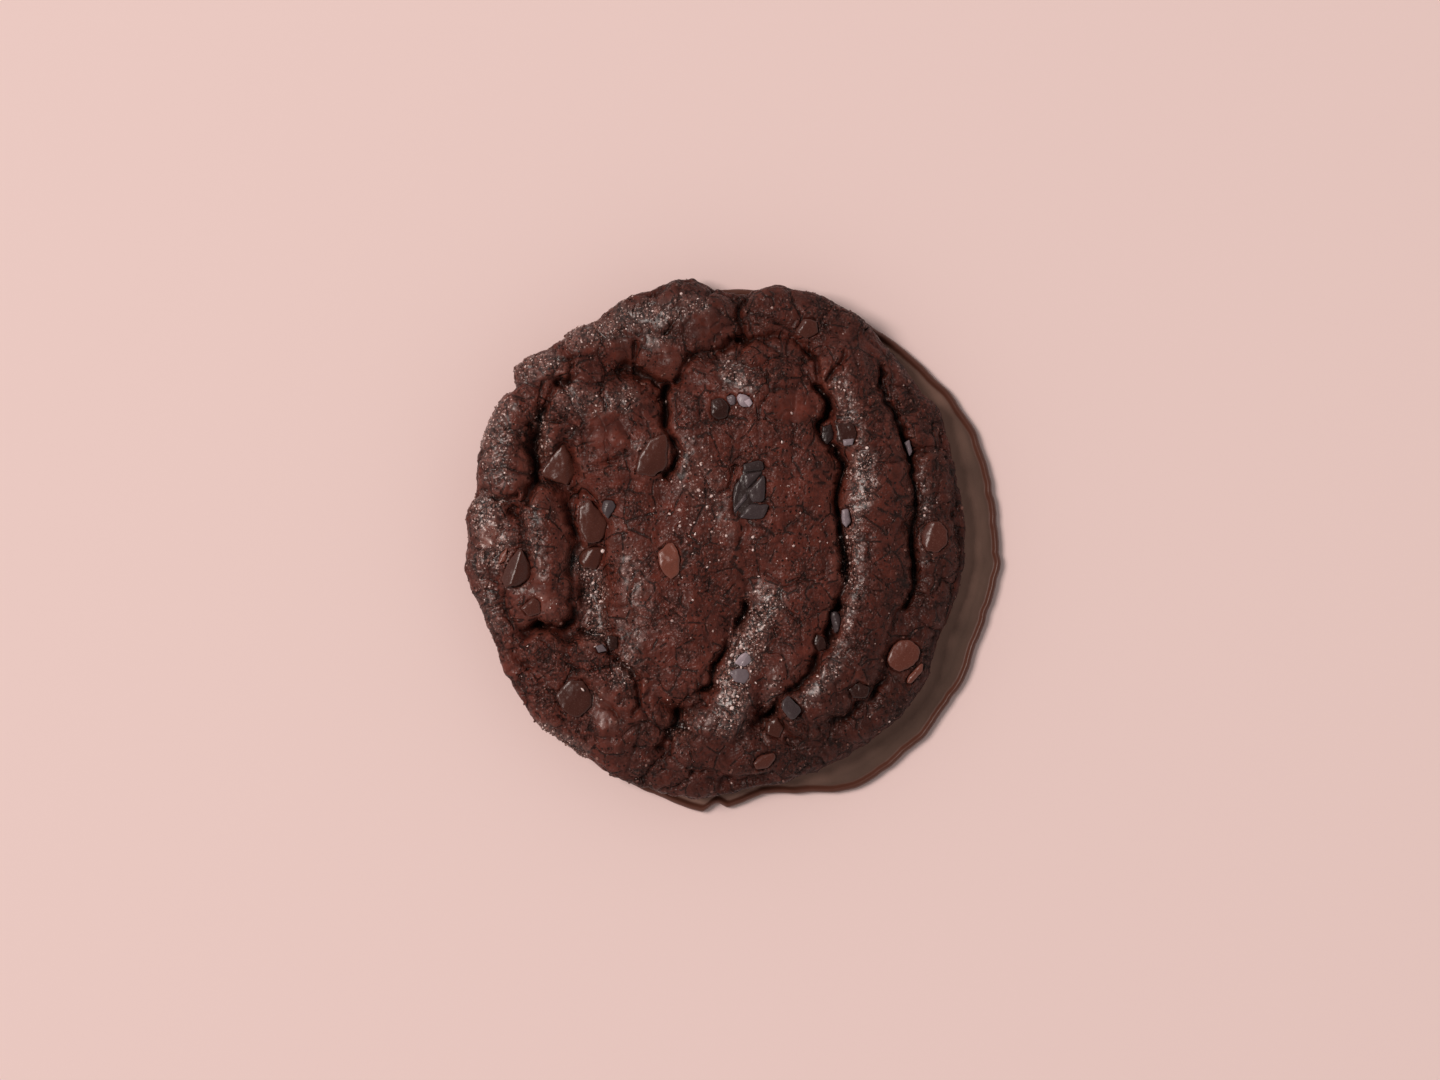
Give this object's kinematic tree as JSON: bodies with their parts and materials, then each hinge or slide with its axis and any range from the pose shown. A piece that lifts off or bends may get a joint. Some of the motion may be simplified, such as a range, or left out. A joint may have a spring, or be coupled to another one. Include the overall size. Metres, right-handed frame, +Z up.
{
  "type": "double chocolate cookie",
  "caption": "Thick round double chocolate cookie with deep folds and cracks and chocolate pieces baked in, standing a little off centre on a thin set chocolate base with a raised edge.",
  "frame": {"origin": "on the resting plane, under the middle of the outline seen from above", "axes": "+X right and +Y away as the cookie is seen from straight above, +Z up through its thickness"},
  "size_m": [0.1072, 0.1064, 0.0178],
  "materials": {
    "dough": "baked chocolate dough, rough and granular with small glossy spots",
    "set_chocolate": "smooth set chocolate, softly glossy"
  },
  "bodies": {
    "root": {"cookie_dough": "dough", "chocolate_base": "set_chocolate"}
  },
  "joints": []
}
